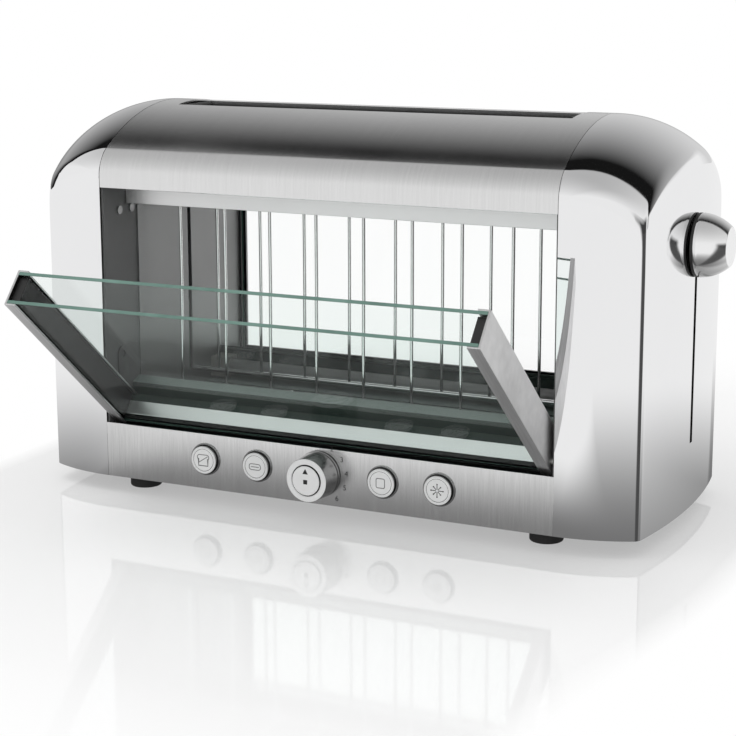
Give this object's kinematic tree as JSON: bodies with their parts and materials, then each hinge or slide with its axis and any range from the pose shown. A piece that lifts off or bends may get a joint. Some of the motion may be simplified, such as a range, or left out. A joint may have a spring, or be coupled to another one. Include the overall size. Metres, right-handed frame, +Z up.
{
  "type": "drop side toaster",
  "caption": "Long-slot toaster with domed steel body, glass sides, a front window that drops open, side lever, browning dial and push buttons.",
  "frame": {"origin": "on the table the feet stand on, under the middle of the casing", "axes": "+X towards the lever end, +Y towards the back, +Z up; the window that drops open faces -Y"},
  "size_m": [0.4046, 0.2717, 0.23],
  "materials": {
    "polished_steel": "mirror polished",
    "brushed_steel": "upright brushed grain",
    "dark_sheet": "satin dark grey enamel",
    "reflector": "satin, slightly heat tinted",
    "black_plastic": "fine satin",
    "foot_rubber": "matt",
    "pane": "clear with green edges",
    "wire_steel": "bright drawn wire",
    "quartz": "milky quartz",
    "coil": "oxidised wire",
    "ceramic": "glazed ceramic",
    "button_silver": "satin silver",
    "tray_steel": "plain sheet",
    "zinc_steel": "zinc plated",
    "board": "solder-masked laminate",
    "magnet": "lacquered winding",
    "rail_silver": "satin anodised"
  },
  "bodies": {
    "casing": {"base_plate": "dark_sheet", "feet": "foot_rubber", "base_screws": "zinc_steel", "left_end_cap": "polished_steel", "right_end_cap": "polished_steel", "left_chamber_wall": "dark_sheet", "right_chamber_wall": "dark_sheet", "left_reflector": "reflector", "right_reflector": "reflector", "top_cover": "brushed_steel", "slot_liner": "dark_sheet", "front_panel": "brushed_steel", "front_sill": "black_plastic", "heat_shield": "zinc_steel", "rear_panel": "brushed_steel", "rear_window_frame": "black_plastic", "rear_glass_outer": "pane", "rear_glass_inner": "pane", "front_guard": "wire_steel", "rear_guard": "wire_steel", "upper_hoods": "reflector", "lower_hoods": "reflector", "quartz_tubes": "quartz", "heater_coils": "coil", "ceramic_holders": "ceramic", "tray_rails": "zinc_steel", "guide_rods": "zinc_steel", "rod_bracket": "zinc_steel", "return_spring": "zinc_steel", "latch_magnet": "magnet", "control_board": "board", "button_carrier": "black_plastic", "button_bezels": "black_plastic", "door_stop_tabs": "zinc_steel", "wall_screws": "zinc_steel", "power_board": "board", "power_parts": "black_plastic", "cord_gland": "black_plastic"},
    "door": {"door_channel_left": "brushed_steel", "door_channel_right": "brushed_steel", "door_spacers": "black_plastic", "door_bottom_rail": "rail_silver", "door_seal": "black_plastic", "door_glass_outer": "pane", "door_glass_inner": "pane", "door_hinge_pins": "zinc_steel"},
    "lift": {"carriage": "wire_steel", "lever_slider": "zinc_steel", "lever_knob_ring": "black_plastic", "lever_knob": "polished_steel"},
    "tray": {"crumb_tray": "tray_steel"},
    "button_1": {"button_left_outer": "button_silver"},
    "button_2": {"button_left_inner": "button_silver"},
    "button_3": {"button_right_inner": "button_silver"},
    "button_4": {"button_right_outer": "button_silver"},
    "dial": {"browning_knob": "brushed_steel", "browning_shaft": "zinc_steel"},
    "stop": {"stop_button": "button_silver"}
  },
  "joints": [
    {"name": "door_hinge", "type": "hinge", "parent": "casing", "child": "door", "pos_m": [0, -0.077, 0.05], "axis": [1, 0, 0], "range_deg": [-49.5, 0]},
    {"name": "lever_slide", "type": "slide", "parent": "casing", "child": "lift", "axis": [0, 0, 1], "range_m": [-0.105, 0], "stiffness_N_per_m": 60, "springref_m": 0.08, "deforming": ["return_spring"]},
    {"name": "tray_slide", "type": "slide", "parent": "casing", "child": "tray", "axis": [0, 1, 0], "range_m": [0, 0.14]},
    {"name": "button_1_press", "type": "slide", "parent": "casing", "child": "button_1", "axis": [0, 1, 0], "range_m": [0, 0.002], "stiffness_N_per_m": 400, "springref_m": -0.001},
    {"name": "button_2_press", "type": "slide", "parent": "casing", "child": "button_2", "axis": [0, 1, 0], "range_m": [0, 0.002], "stiffness_N_per_m": 400, "springref_m": -0.001},
    {"name": "button_3_press", "type": "slide", "parent": "casing", "child": "button_3", "axis": [0, 1, 0], "range_m": [0, 0.002], "stiffness_N_per_m": 400, "springref_m": -0.001},
    {"name": "button_4_press", "type": "slide", "parent": "casing", "child": "button_4", "axis": [0, 1, 0], "range_m": [0, 0.002], "stiffness_N_per_m": 400, "springref_m": -0.001},
    {"name": "browning_turn", "type": "hinge", "parent": "casing", "child": "dial", "pos_m": [0.001, -0.083, 0.028], "axis": [0, -1, 0], "range_deg": [-135, 135]},
    {"name": "stop_press", "type": "slide", "parent": "dial", "child": "stop", "axis": [0, 1, 0], "range_m": [0, 0.0015], "stiffness_N_per_m": 400, "springref_m": -0.001}
  ]
}
